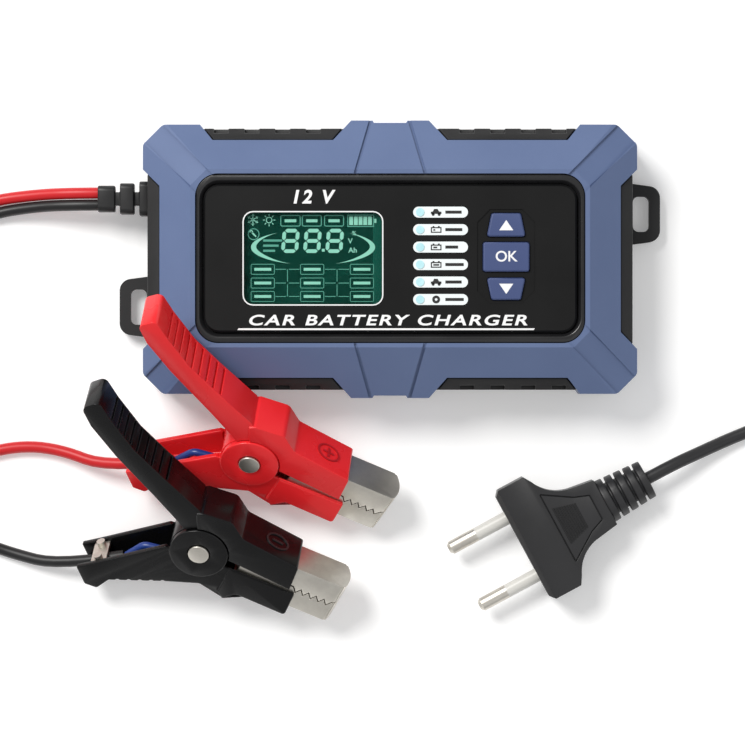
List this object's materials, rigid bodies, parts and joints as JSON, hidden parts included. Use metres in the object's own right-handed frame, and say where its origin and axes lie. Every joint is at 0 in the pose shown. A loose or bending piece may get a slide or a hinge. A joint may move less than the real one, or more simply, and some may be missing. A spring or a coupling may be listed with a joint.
{
  "type": "car battery charger",
  "caption": "Automatic car battery charger with a display, keys, mounting ears, two spring clamps on a lead and a detachable mains lead with a flat two-pin plug",
  "frame": {"origin": "on the surface the charger stands on, under the middle of its housing", "axes": "+X to the right of the control panel, +Y to the panel's top edge, +Z out of the panel's face"},
  "size_m": [0.3899, 0.1619, 0.0565],
  "materials": {
    "black_housing": "fine textured moulding",
    "blue_bumper": "satin moulding",
    "dark_trim": "satin",
    "panel_black": "satin film",
    "window_glass": "clear",
    "lcd_green": "display glass",
    "white_plastic": "satin",
    "lens_white": "diffusing",
    "lamp_chip": "clear",
    "blue_key": "satin",
    "switch_black": "moulded",
    "board_green": "solder mask",
    "screw_steel": "zinc plated",
    "foot_rubber": "matt",
    "ferrite": "sintered",
    "winding_tape": "tape",
    "capacitor_sleeve": "shrunk sleeve",
    "heat_aluminium": "extruded",
    "fuse_glass": "clear",
    "black_plastic": "moulded",
    "nickel": "nickel plated",
    "cable_red": "smooth sheath",
    "cable_black": "smooth sheath",
    "tie_black": "hook and loop",
    "plug_black": "satin moulding",
    "sleeve_white": "moulded",
    "clamp_red": "moulded",
    "clamp_black": "moulded",
    "wire_blue": "sleeve"
  },
  "bodies": {
    "charger": {"base_shell": "black_housing", "black_lead": "cable_black", "black_lower_jaw": "nickel", "black_lower_shell": "clamp_black", "black_tail": "cable_black", "board_screws": "screw_steel", "bumper_frame": "blue_bumper", "cable_straps": "nickel", "case_screws": "screw_steel", "choke": "ferrite", "clamp_rivets": "nickel", "clamp_springs": "screw_steel", "control_panel": "panel_black", "cord_ties": "tie_black", "display_board": "board_green", "display_screws": "screw_steel", "display_window": "window_glass", "fuse": "fuse_glass", "heat_sink": "heat_aluminium", "inlet_pins": "nickel", "lcd_backlight": "white_plastic", "lcd_glass": "lcd_green", "lead_coil": "cable_black", "lead_gland": "cable_black", "lead_splitter": "cable_black", "link_wires": "wire_blue", "main_board": "board_green", "mains_capacitor": "capacitor_sleeve", "mains_coil": "plug_black", "mains_connector": "plug_black", "mains_inlet": "black_plastic", "mains_lead": "plug_black", "mains_tail": "plug_black", "mode_lamps": "lamp_chip", "mode_lenses": "lens_white", "output_capacitors": "capacitor_sleeve", "panel_bezel": "dark_trim", "pin_sleeves": "sleeve_white", "plug_body": "plug_black", "plug_pins": "nickel", "plug_relief": "plug_black", "power_transistors": "switch_black", "red_lead": "cable_red", "red_lower_jaw": "nickel", "red_lower_shell": "clamp_red", "red_tail": "cable_red", "ribbon_cable": "white_plastic", "rubber_feet": "foot_rubber", "strap_screws": "nickel", "tact_switches": "switch_black", "top_shell": "black_housing", "transformer_core": "ferrite", "transformer_winding": "winding_tape"},
    "red_clamp_half": {"red_upper_shell": "clamp_red", "red_upper_jaw": "nickel"},
    "black_clamp_half": {"black_upper_shell": "clamp_black", "black_upper_jaw": "nickel"},
    "up_button": {"up_key": "blue_key"},
    "enter_button": {"enter_key": "blue_key"},
    "down_button": {"down_key": "blue_key"}
  },
  "joints": [
    {"name": "red_clamp_squeeze", "type": "hinge", "parent": "charger", "child": "red_clamp_half", "pos_m": [-0.0394, -0.0538, 0.0184], "axis": [-0.101, -0.6852, 0.7213], "range_deg": [0, 38], "stiffness_Nm_per_rad": 0.35, "springref_deg": -20.05},
    {"name": "black_clamp_squeeze", "type": "hinge", "parent": "charger", "child": "black_clamp_half", "pos_m": [-0.0538, -0.0799, 0.0173], "axis": [-0.1108, -0.6014, 0.7913], "range_deg": [0, 38], "stiffness_Nm_per_rad": 0.35, "springref_deg": -20.05},
    {"name": "up_key_press", "type": "slide", "parent": "charger", "child": "up_button", "axis": [0, 0, -1], "range_m": [0, 0.0007], "stiffness_N_per_m": 600},
    {"name": "enter_key_press", "type": "slide", "parent": "charger", "child": "enter_button", "axis": [0, 0, -1], "range_m": [0, 0.0007], "stiffness_N_per_m": 600},
    {"name": "down_key_press", "type": "slide", "parent": "charger", "child": "down_button", "axis": [0, 0, -1], "range_m": [0, 0.0007], "stiffness_N_per_m": 600}
  ]
}
